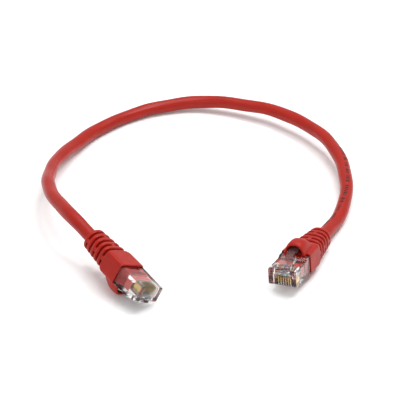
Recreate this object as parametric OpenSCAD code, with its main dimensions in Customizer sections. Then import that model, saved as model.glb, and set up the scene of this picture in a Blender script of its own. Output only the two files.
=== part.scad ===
// Ethernet patch cable: two clear eight-contact plugs with moulded snagless boots on one
// round four-pair cable. It lies in a horseshoe on a flat surface at z = 0. One plug has
// its latch up, and the other rests on its latch side.
//
// Each plug is drawn in its own frame: +X points out of the nose, +Z is the latch side,
// and the origin is on the cable's axis at the nose. Pin 1 is on the -Y side.

/* [Cable] */
// Outside diameter of the jacket
jacket_d = 5.8; // [5.4:0.1:6]
// Thickness of the jacket's wall
jacket_wall = 0.6; // [0.4:0.05:0.65]
// Diameter of one insulated conductor
wire_d = 0.86; // [0.7:0.02:0.88]
// Turns that each pair makes between the plugs
pair_turns = 9; // [4:1:9]
// Turns that the four pairs make together between the plugs
bundle_turns = 3; // [0:1:4]

/* [Plug] */
// Width across the plug
plug_w = 11.68; // [11.5:0.01:11.8]
// Length of the clear housing
plug_l = 21.46; // [21:0.01:23]
// Height of the nose
nose_h = 6.6; // [6.4:0.05:6.7]
// Distance between neighbouring contacts
pitch = 1.02; // [1:0.01:1.04]
// Thickness of a contact blade
blade_t = 0.32; // [0.25:0.01:0.35]

/* [Latch] */
// Width of the latch between its shoulders
latch_w = 6.1; // [5.8:0.05:6.2]
// Width of the latch's tail
tail_w = 3.25; // [3:0.05:3.4]
// Length of the latch behind the nose
latch_l = 15.5; // [14.5:0.1:16]
// Angle at which the free latch rises
latch_rise = 15; // [12:0.5:15]

/* [Boot] */
// Width of the boot's body
boot_w = 12.4; // [12.2:0.1:13]
// Length of clear housing in front of the boot
boot_front = 13.5; // [13.3:0.1:14]
// Length of the boot's body
body_l = 10.1; // [10:0.1:12]
// Length of the boot's grooved neck
neck_l = 13.9; // [12:0.1:18]
// Number of flex grooves in the neck
grooves = 5; // [3:1:6]
// Diameter of the neck where the cable comes out
neck_d = 9.2; // [8.6:0.1:10]

/* [Hidden] */
$fn = 32;

// Small overlap that makes a cut go right through
cut = 1;
// Running clearance of a hinge pin
run = 0.05;

// Plug heights, measured from the cable's axis
contact_side = -3.75;
nose_top = contact_side + nose_h;
rear_top = -contact_side;
rear_step = -9.5;
row_z = 0.55;
row_y = function(i) (i - 4.5) * pitch;
wire_end = -1.6;

// Latch hinge and the hood's hinge
latch_pin = [-1.3, nose_top - 0.95];
latch_pin_r = 0.95;
latch_t = 1;
shoulder = -7.2;
hood_pin = [-21.3, 5.6];
hood_pin_r = 0.45;
hood_front = -12;
hood_rear = -21.3;
hood_out = 3.3;
hood_in = 2.35;
hood_top = 8.9;
cheek_in = 3.4;
cheek_out = 4.2;

// Boot sections
body_rear = -(boot_front + body_l);
boot_end = body_rear - neck_l;
body_h = 9.3;
body_r = 2.4;
ring_pitch = neck_l / grooves;
groove_w = ring_pitch * 0.43;
core_r = 3.55;
web_w = 1.4;

// Where the jacket stops inside a plug, and where its conductors reach their row
jacket_end = -13.2;
fan_end = -8.9;

// Plug poses: the nose's place, then roll, pitch and yaw
spot_a = [-23.11, -20.86, 6.47];
turn_a = [152.8, 10, -53.2];
spot_b = [27.92, -10.69, 8.15];
turn_b = [7.8, -5.5, -117];

// The free cable's route from plug a to plug b
route = [
    [-62, 36, 14.2], [-66, 50.5, 12], [-66.8, 64.5, 9.2], [-65, 79, 6.8], [-60.6, 92, 4.9],
    [-54.5, 104.5, 3.5], [-47, 115, 3], [-36.5, 125, 3], [-25, 131.8, 3.2], [-12, 135.5, 3.9],
    [1.5, 135.2, 4.9], [14.5, 131, 5.9], [26.5, 125, 6.8], [36, 117.5, 7.3], [45.5, 106.5, 7.7],
    [52.5, 94, 7.8], [56.5, 81, 7.2], [58, 67, 6.2], [57.2, 53, 4.6]];

// Number of rings along the cable
rings = 78;
jacket_sides = 12;
wire_sides = 6;

// Radii inside the jacket
bore_r = jacket_d / 2 - jacket_wall;
wire_gap = 0.07;
pair_r = wire_d / 2 + wire_gap;
bundle_r = 1.34;
rip_d = 0.5;

// ---- vectors and turns ----
function unit(v) = v / norm(v);
function roll_of(p, a) = [p.x, p.y * cos(a) - p.z * sin(a), p.y * sin(a) + p.z * cos(a)];
function pitch_of(p, a) = [p.x * cos(a) + p.z * sin(a), p.y, p.z * cos(a) - p.x * sin(a)];
function yaw_of(p, a) = [p.x * cos(a) - p.y * sin(a), p.x * sin(a) + p.y * cos(a), p.z];
function turned(p, a) = yaw_of(pitch_of(roll_of(p, a[0]), a[1]), a[2]);
function placed(p, spot, a) = spot + turned(p, a);
function side_of(t) = unit([-t.y, t.x, 0]);
function up_of(t) = cross(t, side_of(t));
function angle_in(v, t) = atan2(v * up_of(t), v * side_of(t));

// ---- the cable's centreline: straight inside each boot, then smooth through the route ----
inside = [jacket_end, (jacket_end + boot_end) / 2, boot_end, boot_end - 16];
guide = concat(
    [for (x = inside) placed([x, 0, 0], spot_a, turn_a)],
    route,
    [for (i = [3:-1:0]) placed([inside[i], 0, 0], spot_b, turn_b)]);
spans = len(guide) - 1;
function guide_at(i) =
    i < 0 ? 2 * guide[0] - guide[1] :
    i > spans ? 2 * guide[spans] - guide[spans - 1] : guide[i];
function spline(p0, p1, p2, p3, t) =
    0.5 * (2 * p1 + (p2 - p0) * t + (2 * p0 - 5 * p1 + 4 * p2 - p3) * t * t
        + (3 * p1 - p0 - 3 * p2 + p3) * t * t * t);
function centre(u) =
    let (i = min(floor(u * spans), spans - 1), t = u * spans - i)
    spline(guide_at(i - 1), guide_at(i), guide_at(i + 1), guide_at(i + 2), t);
middle = [for (i = [0:rings - 1]) centre(i / (rings - 1))];
function heading(path, i) =
    unit(path[min(i + 1, len(path) - 1)] - path[max(i - 1, 0)]);

// ---- tubes swept along a path ----
function ring(path, i, r, sides) =
    let (t = heading(path, i), side = side_of(t), up = up_of(t))
    [for (k = [0:sides - 1]) path[i] + r * (cos(360 * k / sides) * side + sin(360 * k / sides) * up)];
function band(rows, sides, first, flip) =
    [for (i = [0:rows - 2], k = [0:sides - 1], half = [0, 1])
        let (a = first + i * sides + k, b = first + i * sides + (k + 1) % sides, c = a + sides,
             d = b + sides, f = half == 0 ? [a, b, d] : [a, d, c])
        flip ? [f[2], f[1], f[0]] : f];
function disc(first, sides, flip) =
    [for (k = [1:sides - 2])
        flip ? [first, first + k + 1, first + k] : [first, first + k, first + k + 1]];
function collar(outer, inner, sides, flip) =
    [for (k = [0:sides - 1], half = [0, 1])
        let (n = (k + 1) % sides,
             f = half == 0 ? [outer + k, outer + n, inner + n] : [outer + k, inner + n, inner + k])
        flip ? [f[2], f[1], f[0]] : f];

module rod(path, r, sides) {
    rows = len(path);
    points = [for (i = [0:rows - 1]) each ring(path, i, r, sides)];
    polyhedron(points, concat(
        band(rows, sides, 0, true),
        disc(0, sides, false),
        disc((rows - 1) * sides, sides, true)));
}

module tube(path, r_out, r_in, sides) {
    rows = len(path);
    inner = rows * sides;
    points = concat(
        [for (i = [0:rows - 1]) each ring(path, i, r_out, sides)],
        [for (i = [0:rows - 1]) each ring(path, i, r_in, sides)]);
    polyhedron(points, concat(
        band(rows, sides, 0, true),
        band(rows, sides, inner, false),
        collar(0, inner, sides, false),
        collar((rows - 1) * sides, inner + (rows - 1) * sides, sides, true)));
}

// ---- conductors: side by side in each plug, twisted in pairs inside the jacket ----
// Pairs are orange 1-2, green 3-6, blue 4-5 and brown 7-8, at these angles around plug a
pair_of = [0, 0, 1, 2, 2, 1, 3, 3];
pair_angle = [180, 270, 90, 0];
first_of_pair = [1, 0, 1, 1, 0, 0, 1, 0];
start_dir = heading(middle, 0);
end_dir = heading(middle, rings - 1);
start_y = turned([0, 1, 0], turn_a);
end_y = turned([0, 1, 0], turn_b);

// Plug b meets the cable from the other end, so its bundle is seen mirrored
bundle_start = angle_in(start_y, start_dir);
bundle_end = angle_in(end_y, end_dir);
function bundle_turn(u) = (bundle_end - bundle_start + 360 * bundle_turns) * u;
function pair_turn(u) = (bundle_end - bundle_start + 360 * pair_turns) * u;
function in_cable(i, k) =
    let (u = k / (rings - 1), t = heading(middle, k), side = side_of(t), up = up_of(t),
         a = bundle_start - pair_angle[pair_of[i - 1]] + bundle_turn(u),
         b = bundle_start + pair_turn(u) + (first_of_pair[i - 1] == 1 ? 180 : 0))
    middle[k] + bundle_r * (cos(a) * side + sin(a) * up) + pair_r * (cos(b) * side + sin(b) * up);
function in_row(i, x) = [x, row_y(i), row_z];
function fan(i, inner, spot, a) =
    [for (s = [0.25, 0.5, 0.75]) (1 - s) * inner + s * placed(in_row(i, fan_end), spot, a)];
function reversed(list) = [for (i = [len(list) - 1:-1:0]) list[i]];
function wire_path(i) = concat(
    [for (x = [wire_end, fan_end]) placed(in_row(i, x), spot_a, turn_a)],
    reversed(fan(i, in_cable(i, 0), spot_a, turn_a)),
    [for (k = [0:rings - 1]) in_cable(i, k)],
    fan(i, in_cable(i, rings - 1), spot_b, turn_b),
    [for (x = [fan_end, wire_end]) placed(in_row(i, x), spot_b, turn_b)]);

wire_colors = ["moccasin", "darkorange", "honeydew", "royalblue", "lightblue", "green", "linen",
    "saddlebrown"];
red = "#bd3b32";

// ---- shapes used more than once ----
module in_plug(s) {
    if (s == "a") translate(spot_a) rotate(turn_a) children();
    if (s == "b") translate(spot_b) rotate(turn_b) children();
}

module block(x, y, z) {
    translate([x[0], y[0], z[0]]) cube([x[1] - x[0], y[1] - y[0], z[1] - z[0]]);
}

module side_profile(w, points) {
    translate([0, w / 2, 0]) rotate([90, 0, 0]) linear_extrude(w) polygon(points);
}

function rounded(w, h, r, steps = 5) =
    [for (q = [[1, 1, 0], [-1, 1, 90], [-1, -1, 180], [1, -1, 270]], k = [0:steps])
        let (a = q[2] + 90 * k / steps)
        [q[0] * (w / 2 - r) + r * cos(a), q[1] * (h / 2 - r) + r * sin(a)]];

module slab(x, l, w, h, r) {
    translate([x, 0, 0]) rotate([90, 0, 90]) linear_extrude(l) polygon(rounded(w, h, r));
}

module along_y(x, z, r, w) {
    translate([x, w / 2, z]) rotate([90, 0, 0]) cylinder(r = r, h = w);
}

module along_x(x0, x1, r) {
    translate([x0, 0, 0]) rotate([0, 90, 0]) cylinder(r = r, h = x1 - x0);
}

// ---- plug parts ----
module housing_shell() {
    side_profile(plug_w, [
        [-plug_l, contact_side], [-0.4, contact_side], [0, contact_side + 0.4], [0, nose_top - 0.5],
        [-0.5, nose_top], [rear_step, nose_top], [rear_step - 1.4, rear_top], [-plug_l, rear_top]]);
}

module contact_slots() {
    for (i = [1:8]) {
        y = [row_y(i) - 0.21, row_y(i) + 0.21];
        block([-5.1, cut], y, [contact_side - cut, row_z - wire_d / 2]);
        block([-1.1, cut], y, [contact_side - cut, row_z + 0.1]);
    }
}

module housing(s) color("#eef2f4") in_plug(s) difference() {
    housing_shell();
    contact_slots();
    block([-8.9, wire_end - 0.05], [-4.15, 4.15], [row_z - wire_d / 2, row_z + wire_d / 2 + 0.05]);
    block([-8.9, -5.5], [-4.9, 4.9], [-2.1, 1.9]);
    block([-9.6, -8.8], [-4.95, 4.95], [-3.1, 1.9]);
    block([-plug_l - cut, -9.5], [-4.95, 4.95], [-3.1, 2.1]);
    block([-plug_l - cut, -11.4], [-4.95, 4.95], [0, 3.1]);
    block([-12.8, -10.2], [-2.6, 2.6], [contact_side - cut, 0]);
    block([-3.4, cut], [-latch_w / 2 - 0.25, latch_w / 2 + 0.25], [latch_pin[1], nose_top + cut]);
    block([-0.45, cut], [-latch_w / 2 - 0.25, latch_w / 2 + 0.25], [0.85, nose_top + cut]);
    along_y(latch_pin[0], latch_pin[1], latch_pin_r + run, latch_w + 0.5);
}

module latch(s) color("#dfe6e9") in_plug(s) {
    rise = tan(latch_rise);
    z0 = nose_top + 0.1;
    thick = latch_t / cos(latch_rise);
    back = function(x) z0 - (x + 2) * rise;
    along_y(latch_pin[0], latch_pin[1], latch_pin_r, latch_w);
    side_profile(latch_w, [
        [latch_pin[0] + 0.35, latch_pin[1]], [latch_pin[0] + 0.35, back(latch_pin[0]) + thick],
        [shoulder, back(shoulder) + thick], [shoulder, back(shoulder)],
        [-3, back(-3)], [latch_pin[0] - 0.8, latch_pin[1]]]);
    side_profile(tail_w, [
        [shoulder + 1, back(shoulder + 1)], [shoulder + 1, back(shoulder + 1) + thick],
        [-latch_l, back(-latch_l) + thick], [-latch_l, back(-latch_l) + 0.35],
        [-latch_l + 0.5, back(-latch_l + 0.5)]]);
}

module load_bar(s) color("#efe9d8") in_plug(s) difference() {
    block([-8.75, -5.6], [-4.8, 4.8], [-2, 1.8]);
    for (i = [1:8]) translate([0, row_y(i), row_z]) along_x(-8.75 - cut, -5.6 + cut, wire_d / 2 + 0.03);
}

module crimp_bar(s) color("#dfe6e9") in_plug(s) {
    block([-12.7, -10.3], [-2.5, 2.5], [contact_side + 0.15, -3.1]);
}

module inner_mould(s) color("#a9302a") in_plug(s) difference() {
    union() {
        block([-plug_l, -9.6], [-4.95, 4.95], [-3.1, 2.1]);
        block([-plug_l, -11.4], [-4.95, 4.95], [2.1, 3.1]);
        block([-9.6, fan_end], [-4.95, -4.25], [-3.1, 1.9]);
        block([-9.6, fan_end], [4.25, 4.95], [-3.1, 1.9]);
    }
    block([jacket_end, fan_end + cut], [-4.25, 4.25], [-2.3, 1.7]);
    block([jacket_end, -11.6], [-2.6, 2.6], [-2.3, 2.6]);
    along_x(-plug_l - cut, jacket_end, jacket_d / 2);
}

module contact_blade(s, i) color("goldenrod") in_plug(s) translate([0, row_y(i), 0])
    side_profile(blade_t, [
        [-4.9, -0.9], [-4.9, contact_side + 1], [-4.65, contact_side + 0.65],
        [-4.2, contact_side + 0.5], [-1.75, contact_side + 0.5], [-1.45, contact_side + 0.65],
        [-1.3, contact_side + 1], [-1.3, -0.9], [-1.8, -0.9], [-2.1, row_z - wire_d / 2],
        [-2.4, -0.9], [-3.7, -0.9], [-4, row_z - wire_d / 2], [-4.3, -0.9]]);

module boot_neck() {
    along_x(boot_end, body_rear + cut, core_r);
    for (k = [0:grooves - 1]) {
        f = (k + 1) / grooves;
        w = boot_w - 0.6 - (boot_w - 0.6 - neck_d) * f;
        h = body_h - (body_h - neck_d) * f;
        x = body_rear - ring_pitch * (k + 1);
        slab(x, ring_pitch - groove_w, w, h, min(w, h) / 2 - 0.01 - 1.2 * (1 - f));
        web = k % 2 == 0 ? [w - 0.8, web_w] : [web_w, h - 0.5];
        translate([x, -web[0] / 2, -web[1] / 2]) cube([ring_pitch + 0.1, web[0], web[1]]);
    }
}

module boot_ramp() {
    difference() {
        side_profile(2 * cheek_out - 1.2, [
            [body_rear, 4.2], [hood_rear - 0.35, 4.2], [hood_rear - 0.35, 7], [hood_rear - 0.9, 6.6],
            [body_rear, body_h / 2]]);
        along_y(hood_pin[0], hood_pin[1], hood_pin_r + run, 2 * cheek_in);
    }
    for (side = [-1, 1]) translate([0, side * (cheek_in + cheek_out) / 2, 0])
        side_profile(cheek_out - cheek_in, [
            [body_rear + 0.2, 4.2], [-12.8, 4.2], [-12.2, 6.4], [-12.8, 7.2], [-20.5, 6.9],
            [body_rear + 0.2, 4.7]]);
}

module boot(s) color(red) in_plug(s) difference() {
    union() {
        slab(body_rear, body_l, boot_w, body_h, body_r);
        boot_neck();
        boot_ramp();
    }
    block([-plug_l, -boot_front + cut], [-plug_w / 2, plug_w / 2], [contact_side, rear_top]);
    block([hood_rear, -boot_front + cut], [-cheek_in, cheek_in], [0, body_h]);
    along_x(boot_end - cut, -plug_l + cut, jacket_d / 2);
}

module hood_arch(half, top) {
    rotate([90, 0, 90]) linear_extrude(-hood_rear + hood_front) polygon([
        [-half, 0], [half, 0], [half, top - 1.5], [half - 0.45, top - 0.6], [half - 1.4, top],
        [-half + 1.4, top], [-half + 0.45, top - 0.6], [-half, top - 1.5]]);
}

module hood(s) color(red) in_plug(s) {
    along_y(hood_pin[0], hood_pin[1], hood_pin_r, 2 * hood_out);
    intersection() {
        difference() {
            translate([hood_rear, 0, 0]) hood_arch(hood_out, hood_top);
            translate([hood_rear + 0.9, 0, 0]) hood_arch(hood_in, hood_top - 0.9);
        }
        side_profile(20, [
            [hood_rear, 5.1], [hood_front, 7.1], [hood_front, 8.2], [hood_front - 0.7, 8.75],
            [-15, 9], [-18, 8.6], [-20, 7.9], [hood_rear, 7]]);
    }
}

// ---- cable parts ----
module jacket() color(red) tube(middle, jacket_d / 2, bore_r / cos(180 / jacket_sides), jacket_sides);

module wire(i) color(wire_colors[i - 1]) rod(wire_path(i), wire_d / 2, wire_sides);

module rip_cord() color("white") rod(middle, rip_d / 2, wire_sides);

for (s = ["a", "b"]) {
    housing(s);
    latch(s);
    load_bar(s);
    crimp_bar(s);
    inner_mould(s);
    boot(s);
    hood(s);
    for (i = [1:8]) contact_blade(s, i);
}
for (i = [1:8]) wire(i);
rip_cord();
jacket();
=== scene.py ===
import math

import bpy
import numpy as np
from mathutils import Euler, Matrix, Vector


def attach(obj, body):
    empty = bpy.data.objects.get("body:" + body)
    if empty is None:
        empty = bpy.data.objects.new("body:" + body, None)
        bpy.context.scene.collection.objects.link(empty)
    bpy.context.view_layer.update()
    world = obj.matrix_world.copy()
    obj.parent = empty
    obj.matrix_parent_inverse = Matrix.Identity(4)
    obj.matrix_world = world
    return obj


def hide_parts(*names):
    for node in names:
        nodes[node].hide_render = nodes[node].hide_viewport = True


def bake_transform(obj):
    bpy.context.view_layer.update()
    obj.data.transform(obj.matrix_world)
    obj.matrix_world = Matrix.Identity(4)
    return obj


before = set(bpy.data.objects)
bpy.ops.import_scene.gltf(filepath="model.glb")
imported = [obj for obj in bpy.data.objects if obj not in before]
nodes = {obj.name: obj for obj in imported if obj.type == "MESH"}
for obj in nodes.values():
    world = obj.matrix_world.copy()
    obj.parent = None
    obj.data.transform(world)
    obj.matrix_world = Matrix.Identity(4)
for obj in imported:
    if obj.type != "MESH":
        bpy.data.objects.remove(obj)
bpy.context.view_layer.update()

MM = 0.001
PLUGS = ("a", "b")
ROOT = "cable"

# ---- where each plug's nose is, and how the plug is turned (roll, pitch, yaw) ----
# In a plug's own frame +X points out of the nose and +Z is the latch side.
SPOT = {"a": (-23.11, -20.86, 6.47), "b": (27.92, -10.69, 8.15)}
TURN = {"a": (152.8, 10.0, -53.2), "b": (7.8, -5.5, -117.0)}

# ---- plug sizes along its own axis, in millimetres ----
JACKET_END = -13.2
BOOT_FRONT = -13.5
BODY_REAR = -23.6
NECK = 13.9
BOOT_END = BODY_REAR - NECK
GROOVES = 5
HOUSING_REAR = -21.46
STRAIGHT = 16.0
JACKET_R = 2.9

# ---- the free cable's route from plug a to plug b, in millimetres ----
ROUTE = (
    (-62, 36, 14.2), (-66, 50.5, 12), (-66.8, 64.5, 9.2), (-65, 79, 6.8), (-60.6, 92, 4.9),
    (-54.5, 104.5, 3.5), (-47, 115, 3), (-36.5, 125, 3), (-25, 131.8, 3.2), (-12, 135.5, 3.9),
    (1.5, 135.2, 4.9), (14.5, 131, 5.9), (26.5, 125, 6.8), (36, 117.5, 7.3), (45.5, 106.5, 7.7),
    (52.5, 94, 7.8), (56.5, 81, 7.2), (58, 67, 6.2), (57.2, 53, 4.6))


def plug_matrix(plug):
    turn = Euler([math.radians(v) for v in TURN[plug]], "XYZ").to_matrix().to_4x4()
    return Matrix.Translation(Vector(SPOT[plug]) * MM) @ turn @ Matrix.Scale(MM, 4)


def at(plug, point):
    """A point given in a plug's own frame in millimetres, in the shared frame in metres."""
    return plug_matrix(plug) @ Vector(point)


def smooth(value, low, high):
    t = np.clip((value - low) / (high - low), 0.0, 1.0)
    return t * t * (3.0 - 2.0 * t)


# ---- camera ----
CAMERA_TARGET = Vector((-0.0035, 0.0293, 0.018))
CAMERA_ELEVATION = math.radians(32.0)
CAMERA_DISTANCE = 0.667
camera = bpy.data.objects.new("camera", bpy.data.cameras.new("camera"))
bpy.context.scene.collection.objects.link(camera)
camera.data.lens = 150.0
camera.data.sensor_width = 36.0
look = Vector((0.0, math.cos(CAMERA_ELEVATION), -math.sin(CAMERA_ELEVATION)))
camera.location = CAMERA_TARGET - look * CAMERA_DISTANCE
camera.rotation_mode = "QUATERNION"
camera.rotation_quaternion = look.to_track_quat("-Z", "Y")
camera.data.clip_start = 0.01
camera.data.clip_end = 20.0
bpy.context.scene.camera = camera

# ---- materials ----
# Wire colours follow the usual order of the eight wires. The clear plastic's index is set for looks.
PVC_RED = (0.325, 0.010, 0.004)
JACKET_RED = (0.31, 0.011, 0.005)
MOULD_RED = (0.50, 0.012, 0.008)


def new_material(name):
    mat = bpy.data.materials.new(name)
    mat.use_nodes = True
    tree = mat.node_tree
    return mat, tree, tree.nodes["Principled BSDF"]


def noise(tree, scale, detail=3.0, stretch=None):
    """A noise texture in object coordinates, in cycles per metre."""
    coords = tree.nodes.new("ShaderNodeTexCoord")
    tex = tree.nodes.new("ShaderNodeTexNoise")
    tex.inputs["Scale"].default_value = scale
    tex.inputs["Detail"].default_value = detail
    if stretch:
        mapping = tree.nodes.new("ShaderNodeMapping")
        mapping.inputs["Scale"].default_value = stretch
        tree.links.new(coords.outputs["Object"], mapping.inputs["Vector"])
        tree.links.new(mapping.outputs["Vector"], tex.inputs["Vector"])
    else:
        tree.links.new(coords.outputs["Object"], tex.inputs["Vector"])
    return tex.outputs["Fac"]


def vary_colour(tree, shader, colour, scale, spread):
    """Base colour that drifts a little lighter and darker over the surface."""
    ramp = tree.nodes.new("ShaderNodeValToRGB")
    ramp.color_ramp.elements[0].position = 0.3
    ramp.color_ramp.elements[1].position = 0.7
    ramp.color_ramp.elements[0].color = (*[c * (1 - spread) for c in colour], 1)
    ramp.color_ramp.elements[1].color = (*[min(1.0, c * (1 + spread)) for c in colour], 1)
    tree.links.new(noise(tree, scale), ramp.inputs["Fac"])
    tree.links.new(ramp.outputs["Color"], shader.inputs["Base Color"])


def vary_roughness(tree, shader, low, high, scale):
    spread = tree.nodes.new("ShaderNodeMapRange")
    spread.inputs["To Min"].default_value = low
    spread.inputs["To Max"].default_value = high
    tree.links.new(noise(tree, scale), spread.inputs["Value"])
    tree.links.new(spread.outputs["Result"], shader.inputs["Roughness"])


def add_grain(tree, shader, layers):
    """Bump layers, each (scale, depth in metres, stretch)."""
    below = None
    for scale, depth, stretch in layers:
        bump = tree.nodes.new("ShaderNodeBump")
        bump.inputs["Strength"].default_value = 1.0
        bump.inputs["Distance"].default_value = depth
        tree.links.new(noise(tree, scale, 4.0, stretch), bump.inputs["Height"])
        if below:
            tree.links.new(below, bump.inputs["Normal"])
        below = bump.outputs["Normal"]
    tree.links.new(below, shader.inputs["Normal"])


def plastic(name, colour, rough, spread=0.07, drift=160.0, grain=(), coat=0.0):
    mat, tree, shader = new_material(name)
    vary_colour(tree, shader, colour, drift, spread)
    vary_roughness(tree, shader, rough[0], rough[1], drift * 4)
    if grain:
        add_grain(tree, shader, grain)
    shader.inputs["IOR"].default_value = 1.45
    shader.inputs["Specular IOR Level"].default_value = 0.26
    shader.inputs["Coat Weight"].default_value = coat
    shader.inputs["Coat Roughness"].default_value = 0.12
    return mat


FINE_GRAIN = (5200.0, 0.000010, None)
SOFT_DENTS = (420.0, 0.00006, None)
jacket_pvc = plastic("jacket_pvc", JACKET_RED, (0.30, 0.42), grain=(FINE_GRAIN, SOFT_DENTS))
boot_pvc = plastic("boot_pvc", PVC_RED, (0.34, 0.46), grain=(FINE_GRAIN, SOFT_DENTS))
inner_pvc = plastic("inner_pvc", MOULD_RED, (0.22, 0.34), grain=(FINE_GRAIN,), coat=0.3)
bar_plastic = plastic("load_bar_plastic", (0.62, 0.10, 0.08), (0.12, 0.22), 0.06, grain=(FINE_GRAIN,))
ink = plastic("print_ink", (0.02, 0.012, 0.012), (0.35, 0.5), 0.3, 900.0)
yarn = plastic("rip_cord", (0.85, 0.84, 0.80), (0.7, 0.85), 0.12, 2500.0,
               grain=((3000.0, 0.00008, None),))
WIRE_COLOURS = (
    ("white_orange", (0.88, 0.70, 0.50)), ("orange", (0.85, 0.22, 0.02)),
    ("white_green", (0.66, 0.85, 0.66)), ("blue", (0.02, 0.09, 0.50)),
    ("white_blue", (0.62, 0.72, 0.88)), ("green", (0.02, 0.26, 0.06)),
    ("white_brown", (0.76, 0.66, 0.58)), ("brown", (0.20, 0.08, 0.03)))
wire_finish = [plastic("wire_" + n, c, (0.25, 0.38), grain=(FINE_GRAIN,)) for n, c in WIRE_COLOURS]

clear_plastic, tree, shader = new_material("clear_plastic")
shader.inputs["Base Color"].default_value = (0.99, 0.985, 0.98, 1.0)
shader.inputs["Transmission Weight"].default_value = 0.99
shader.inputs["IOR"].default_value = 1.36
vary_roughness(tree, shader, 0.02, 0.05, 300.0)
add_grain(tree, shader, ((350.0, 0.000006, None),))

gold, tree, shader = new_material("gold_contact")
vary_colour(tree, shader, (0.80, 0.55, 0.20), 900.0, 0.12)
vary_roughness(tree, shader, 0.16, 0.30, 2400.0)
add_grain(tree, shader, ((2200.0, 0.000008, (1.0, 1.0, 6.0)),))
shader.inputs["Metallic"].default_value = 1.0


# ---- mesh helpers ----
def make_object(name, points, faces, material, smooth_faces=True):
    mesh = bpy.data.meshes.new(name)
    mesh.from_pydata([tuple(p) for p in points], [], faces)
    mesh.validate()
    mesh.update()
    mesh.polygons.foreach_set("use_smooth", [smooth_faces] * len(mesh.polygons))
    mesh.materials.append(material)
    piece = bpy.data.objects.new(name, mesh)
    bpy.context.scene.collection.objects.link(piece)
    return piece


def loft(rows, closed_rows=False):
    """Quads between rings of equal point count. closed_rows joins the last ring to the first."""
    count = len(rows[0])
    faces = []
    for i in range(len(rows) if closed_rows else len(rows) - 1):
        a, b = i * count, ((i + 1) % len(rows)) * count
        for k in range(count):
            n = (k + 1) % count
            faces.append((a + k, a + n, b + n, b + k))
    return np.concatenate(rows), faces


# ---- the cable's centreline, the same curve as in the CAD ----
def guide_points():
    inside = (JACKET_END, (JACKET_END + BOOT_END) / 2, BOOT_END, BOOT_END - STRAIGHT)
    start = [at("a", (x, 0, 0)) for x in inside]
    end = [at("b", (x, 0, 0)) for x in reversed(inside)]
    return np.array([tuple(p) for p in start + [Vector(p) * MM for p in ROUTE] + end])


def centreline(guide, count):
    """A Catmull-Rom curve through the guide points."""
    spans = len(guide) - 1
    padded = np.vstack([2 * guide[0] - guide[1], guide, 2 * guide[-1] - guide[-2]])
    u = np.linspace(0.0, spans, count)
    i = np.minimum(u.astype(int), spans - 1)
    t = (u - i)[:, None]
    p0, p1, p2, p3 = (padded[i + k] for k in range(4))
    return 0.5 * (2 * p1 + (p2 - p0) * t + (2 * p0 - 5 * p1 + 4 * p2 - p3) * t ** 2
                  + (3 * p1 - p0 - 3 * p2 + p3) * t ** 3)


JACKET_RINGS = 760
JACKET_SIDES = 48
LAY = 0.056
path = centreline(guide_points(), JACKET_RINGS)
heading = np.gradient(path, axis=0)
heading /= np.linalg.norm(heading, axis=1)[:, None]
across = np.cross([0.0, 0.0, 1.0], heading)
across /= np.linalg.norm(across, axis=1)[:, None]
upward = np.cross(heading, across)
run = np.concatenate([[0.0], np.cumsum(np.linalg.norm(np.diff(path, axis=0), axis=1))])
CORD_LENGTH = float(run[-1])


def jacket_radius(s, angle):
    """The jacket follows the four pairs inside it, so it has slow, shallow lobes that wind along it."""
    wind = 2 * np.pi * s / LAY
    lobes = 0.024 * np.cos(2 * angle - wind) + 0.014 * np.cos(4 * angle - 2.3 * wind + 0.6)
    ripple = 0.030 * np.sin(2 * np.pi * s / 0.0185 + angle) + 0.020 * np.sin(2 * np.pi * s / 0.031 - angle)
    ends = smooth(s, 0.020, 0.034) * smooth(CORD_LENGTH - s, 0.020, 0.034)
    return JACKET_R * MM * (0.975 + (lobes + ripple) * ends)


def on_jacket(s, angle, lift=0.0):
    """Points on the jacket's surface at distance s along it and an angle round it."""
    middle, side, up = (np.stack([np.interp(s, run, a[:, k]) for k in range(3)], axis=-1)
                        for a in (path, across, upward))
    r = (jacket_radius(s, angle) + lift)[..., None]
    return middle + r * (np.cos(angle)[..., None] * side + np.sin(angle)[..., None] * up)


turns = np.linspace(0, 2 * np.pi, JACKET_SIDES, endpoint=False)
outer = [on_jacket(np.full(JACKET_SIDES, s), turns) for s in run]
BORE = 2.3 * MM
inner = [path[i] + BORE * (np.cos(turns)[:, None] * across[i] + np.sin(turns)[:, None] * upward[i])
         for i in range(JACKET_RINGS - 1, -1, -12)]
points, faces = loft(outer + inner, closed_rows=True)
jacket = make_object("jacket_skin", points, [f[::-1] for f in faces], jacket_pvc)
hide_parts("jacket")
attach(jacket, ROOT)

# ---- generic print along the jacket: plain ink bars, no lettering ----
MARK_RNG = np.random.default_rng(7)
MARK_FROM_END = (0.031, 0.104)
MARK_ANGLES = (math.radians(34.0), math.radians(128.0))
MARK_HALF = math.radians(15.0)
MARK_WIDTHS = (0.35, 0.5, 0.9)
MARK_GAP = 0.5 * MM
GROUP_GAP = 1.6 * MM
INK_PROUD = 0.018 * MM
INK_SUNK = 0.06 * MM


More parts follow.
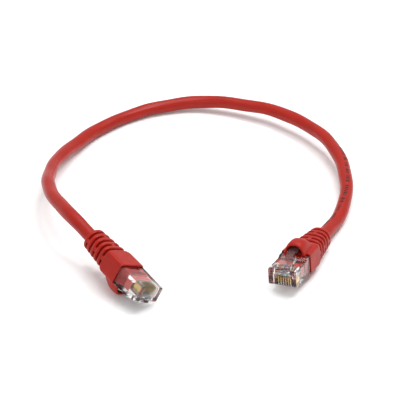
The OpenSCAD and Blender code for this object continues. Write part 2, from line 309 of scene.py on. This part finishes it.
def ink_mark(points, faces, s0, s1, a0, a1):
    """A thin closed patch that follows the jacket."""
    steps_s, steps_a = 3, 7
    s, a = np.meshgrid(np.linspace(s0, s1, steps_s), np.linspace(a0, a1, steps_a), indexing="ij")
    first = len(points)
    points.extend(on_jacket(s, a, INK_PROUD).reshape(-1, 3))
    points.extend(on_jacket(s, a, -INK_SUNK).reshape(-1, 3))
    half = steps_s * steps_a

    def index(i, k, low):
        return first + low * half + i * steps_a + k

    for i in range(steps_s - 1):
        for k in range(steps_a - 1):
            top = [index(i, k, 0), index(i + 1, k, 0), index(i + 1, k + 1, 0), index(i, k + 1, 0)]
            faces.append(top)
            faces.append([v + half for v in reversed(top)])
    rim = [(i, 0) for i in range(steps_s)] + [(steps_s - 1, k) for k in range(1, steps_a)]
    rim += [(i, steps_a - 1) for i in range(steps_s - 2, -1, -1)]
    rim += [(0, k) for k in range(steps_a - 2, 0, -1)]
    for n, here in enumerate(rim):
        after = rim[(n + 1) % len(rim)]
        faces.append([index(*here, 0), index(*here, 1), index(*after, 1), index(*after, 0)])


mark_points, mark_faces = [], []
s = CORD_LENGTH - MARK_FROM_END[1]
while s < CORD_LENGTH - MARK_FROM_END[0]:
    for _ in range(MARK_RNG.integers(2, 7)):
        along = (CORD_LENGTH - MARK_FROM_END[0] - s) / (MARK_FROM_END[1] - MARK_FROM_END[0])
        centre = MARK_ANGLES[0] * along + MARK_ANGLES[1] * (1 - along)
        width = MARK_RNG.choice(MARK_WIDTHS) * MM
        ink_mark(mark_points, mark_faces, s, s + width, centre - MARK_HALF, centre + MARK_HALF)
        s += width + MARK_GAP
    s += GROUP_GAP
print_marks = make_object("jacket_print", mark_points, mark_faces, ink, False)
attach(print_marks, ROOT)

# ---- boots ----
BOOT_SIDES = 240
angles = np.linspace(0, 2 * np.pi, BOOT_SIDES, endpoint=False)
COS, SIN = np.cos(angles), np.sin(angles)
CORE_R = 3.40
RING_PITCH = NECK / GROOVES
GROOVE_W = RING_PITCH * 0.46
GROOVE_FILLET = 0.26
RING_EDGE = 0.90
WEB_HALF = 0.62
WEB_FILLET = 0.35
SECTION_MEAN_R = 4.8
DECK_Z = 3.84
CHANNEL_EDGE = (math.sin(math.radians(50.0)), math.sin(math.radians(53.5)))
CHANNEL_END = (-21.2, -20.8)
SLEEVE = (5.86, 3.765)
BORE_R = 3.0


def superellipse(half_w, half_h, power):
    return (np.abs(COS / half_w) ** power + np.abs(SIN / half_h) ** power) ** (-1 / power)


def boot_outline(x):
    """Distance from the axis to the boot's envelope, round the whole section at x."""
    if x <= BODY_REAR:
        f = min(1.0, (BODY_REAR - x) / NECK)
        return superellipse(6.0 - 1.4 * f, 4.66 - 0.06 * f, 3.8 - 1.6 * f)
    f = (x - BODY_REAR) / (BOOT_FRONT - BODY_REAR)
    power = 4.6 + 4.2 * float(smooth(x, BODY_REAR, HOUSING_REAR - 0.1)) + 1.4 * f
    return superellipse(6.02 + 0.18 * f, 4.66, power)


def web_share(k):
    """How much of the groove is filled at each angle: at the sides, or at the top and bottom."""
    off = np.abs(SIN if k % 2 == 0 else COS) * SECTION_MEAN_R
    return 1.0 - smooth(off, WEB_HALF, WEB_HALF + WEB_FILLET)


def neck_row(x):
    """The neck's surface at x: rounded rings, and grooves with short webs across them."""
    envelope = boot_outline(x)
    behind = BODY_REAR - x
    k = min(int(behind / RING_PITCH), GROOVES - 1)
    place = behind - k * RING_PITCH
    if place < GROOVE_W:
        edge = min(place, GROOVE_W - place)
        ring = (1.0 - smooth(edge, 0.0, GROOVE_FILLET)) * RING_EDGE
        web = web_share(k) * RING_EDGE
    else:
        along = (place - GROOVE_W) / (RING_PITCH - GROOVE_W)
        ring = 1.0 - (1.0 - RING_EDGE) * abs(2 * along - 1) ** 3
        web = np.zeros_like(angles)
    return CORE_R + (envelope - CORE_R) * np.maximum(ring, web)


def body_row(x):
    """The body's surface at x, with the deck under the latch let down to the plug's top."""
    envelope = boot_outline(x)
    channel = smooth(SIN, *CHANNEL_EDGE) * smooth(x, *CHANNEL_END)
    deck = DECK_Z / np.maximum(SIN, 0.3)
    return envelope * (1 - channel) + np.minimum(deck, envelope) * channel


def sleeve_row():
    """The square hole that the plug's back sits in."""
    return np.minimum(SLEEVE[0] / np.maximum(np.abs(COS), 1e-6),
                      SLEEVE[1] / np.maximum(np.abs(SIN), 1e-6))


def make_boot(plug):
    rows = []

    def add(x, radius):
        rows.append(np.stack([np.full(BOOT_SIDES, x), radius * COS, radius * SIN], axis=1))

    end = boot_outline(BOOT_END)
    for inset, back in ((1.35, 0.0), (0.8, 0.0), (0.45, 0.03), (0.2, 0.14), (0.05, 0.32)):
        add(BOOT_END + back, np.maximum(end - inset, BORE_R + 0.05))
    for x in np.arange(BOOT_END + 0.45, BODY_REAR, 0.075):
        add(x, neck_row(x))
    first = boot_outline(BODY_REAR)
    for inset, ahead in ((0.55, 0.0), (0.2, 0.06), (0.05, 0.2)):
        add(BODY_REAR + ahead, first - inset)
    for x in np.arange(BODY_REAR + 0.4, BOOT_FRONT - 0.35, 0.3):
        add(x, body_row(x))
    lip, inside = body_row(BOOT_FRONT - 0.3), sleeve_row()
    for share, back in ((0.0, 0.3), (0.14, 0.1), (0.36, 0.01), (0.64, 0.01), (0.86, 0.1), (1.0, 0.3)):
        add(BOOT_FRONT - back, lip + (inside - lip) * share)
    for x in (-16.0, -19.0, HOUSING_REAR - 0.04):
        add(x, inside)
    for share in (0.4, 0.8, 1.0):
        add(HOUSING_REAR - 0.05, inside + (BORE_R - inside) * share)
    for x in np.linspace(HOUSING_REAR - 0.5, BOOT_END, 8):
        add(x, np.full(BOOT_SIDES, BORE_R))
    points, faces = loft(rows, closed_rows=True)
    to_frame = np.array(plug_matrix(plug))
    points = points @ to_frame[:3, :3].T + to_frame[:3, 3]
    boot = make_object("boot_skin_" + plug, points, [f[::-1] for f in faces], boot_pvc)
    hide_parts("boot_" + plug)
    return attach(boot, ROOT)


# ---- hoods: a soft arch over the latch, built in one resting shape (the real hood sinks when pressed) ----
ARCH_SIDES = 72
HOOD_X = (-12.0, -13.0, -14.5, -16.0, -17.5, -19.0, -20.5, -21.8, -22.9, -23.6)
HOOD_TOP = (8.35, 8.9, 9.05, 9.05, 8.75, 7.9, 6.8, 5.7, 4.85, 4.5)
HOOD_HALF = (3.95, 4.0, 4.05, 4.05, 4.0, 3.95, 3.9, 3.8, 3.7, 3.6)
HOOD_WALL = 0.85
HOOD_FOOT = 3.86
HOOD_CLOSED = -20.9


def hood_section(x, share):
    """One closed loop of the hood at x: the outer arch, then the inner one back.

    share is how much of the wall's thickness is there, less than 1 on the rounded lip.
    """
    phi = np.linspace(0, np.pi, ARCH_SIDES)
    order = -np.array(HOOD_X)
    top = np.interp(-x, order, HOOD_TOP)
    half = np.interp(-x, order, HOOD_HALF)
    power = 2 / (2.5 - 0.3 * float(smooth(-x, 17.0, 22.0)))
    open_share = 1.0 - float(smooth(-x, -HOOD_CLOSED - 1.2, -HOOD_CLOSED))
    arches = []
    for wall in (HOOD_WALL * (1 - share) / 2, HOOD_WALL * (1 + share) / 2):
        rise = max(top - wall - HOOD_FOOT, 0.02)
        if wall > HOOD_WALL / 2:
            rise = max(rise * open_share, 0.02)
        y = (half - wall) * np.sign(np.cos(phi)) * np.abs(np.cos(phi)) ** power
        z = HOOD_FOOT + rise * np.abs(np.sin(phi)) ** power
        if wall <= HOOD_WALL / 2:
            y = y + np.sign(y) * 0.5 * np.exp(-np.maximum(z - 4.6, 0) / 0.35)
        arches.append(np.stack([np.full(ARCH_SIDES, x), y, z], axis=1))
    return np.concatenate([arches[0], arches[1][::-1]])


def make_hood(plug):
    rows = [hood_section(-12.0 - back, share)
            for share, back in ((0.12, 0.0), (0.5, 0.03), (0.8, 0.12), (0.95, 0.26))]
    rows += [hood_section(x, 1.0) for x in np.arange(-12.45, -23.61, -0.2)]
    points, faces = loft(rows)
    count, last = 2 * ARCH_SIDES, (len(rows) - 1) * 2 * ARCH_SIDES
    for k in range(ARCH_SIDES - 1):
        faces.append((k + 1, k, count - 1 - k, count - 2 - k))
        faces.append((last + k, last + k + 1, last + count - 2 - k, last + count - 1 - k))
    to_frame = np.array(plug_matrix(plug))
    points = points @ to_frame[:3, :3].T + to_frame[:3, 3]
    hood = make_object("hood_skin_" + plug, points, faces, boot_pvc)
    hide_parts("hood_" + plug)
    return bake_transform(hood)


for plug in PLUGS:
    make_boot(plug)
    make_hood(plug)


# ---- finishes and rounded edges on the CAD nodes that stay ----
def finish_node(name, material, edge=None):
    node = nodes[name]
    node.data.materials.clear()
    node.data.materials.append(material)
    weld = node.modifiers.new("weld", "WELD")
    weld.merge_threshold = 0.000004
    if edge:
        flat = node.modifiers.new("flat", "DECIMATE")
        flat.decimate_type = "DISSOLVE"
        flat.angle_limit = math.radians(0.8)
        bevel = node.modifiers.new("bevel", "BEVEL")
        bevel.width = edge
        bevel.segments = 2
        bevel.limit_method = "ANGLE"
        bevel.angle_limit = math.radians(35.0)
        bevel.harden_normals = True


for plug in PLUGS:
    finish_node("housing_" + plug, clear_plastic, 0.00010)
    finish_node("latch_" + plug, clear_plastic, 0.00012)
    finish_node("crimp_bar_" + plug, clear_plastic, 0.00008)
    finish_node("load_bar_" + plug, bar_plastic, 0.00010)
    finish_node("inner_mould_" + plug, inner_pvc, 0.00014)
    for i in range(1, 9):
        finish_node("contact_%s_%d" % (plug, i), gold, 0.00003)
for i in range(1, 9):
    finish_node("wire_%d" % i, wire_finish[i - 1])
finish_node("rip_cord", yarn)

# ---- floor and light: a soft light from above, a small one for glints, a weak one in front ----
FLOOR_HALF = 3.0
WORLD_STRENGTH = 0.72
floor = make_object(
    "floor", [(-FLOOR_HALF, -FLOOR_HALF, 0), (FLOOR_HALF, -FLOOR_HALF, 0),
              (FLOOR_HALF, FLOOR_HALF, 0), (-FLOOR_HALF, FLOOR_HALF, 0)], [(0, 1, 2, 3)],
    plastic("floor", (0.92, 0.92, 0.92), (0.55, 0.6), 0.004, 3.0), False)


def softbox(name, place, aim, size, power, colour=(1, 1, 1)):
    light = bpy.data.objects.new(name, bpy.data.lights.new(name, "AREA"))
    light.data.shape = "RECTANGLE"
    light.data.size, light.data.size_y = size
    light.data.energy = power
    light.data.color = colour
    light.location = place
    light.rotation_mode = "QUATERNION"
    light.rotation_quaternion = (Vector(aim) - Vector(place)).to_track_quat("-Z", "Y")
    bpy.context.scene.collection.objects.link(light)


softbox("overhead", (0.10, 0.16, 0.85), (0, 0.05, 0), (0.7, 0.7), 6.0)
softbox("glint", (0.30, 0.10, 0.60), (0, 0.0, 0), (0.08, 0.08), 0.9)
softbox("front", (-0.35, -0.75, 0.55), (0, 0.05, 0), (0.5, 0.35), 1.0)
world = bpy.data.worlds.new("world")
bpy.context.scene.world = world
world.use_nodes = True
world.node_tree.nodes["Background"].inputs["Color"].default_value = (1.0, 1.0, 1.0, 1.0)
world.node_tree.nodes["Background"].inputs["Strength"].default_value = WORLD_STRENGTH
bpy.context.scene.view_settings.view_transform = "Standard"
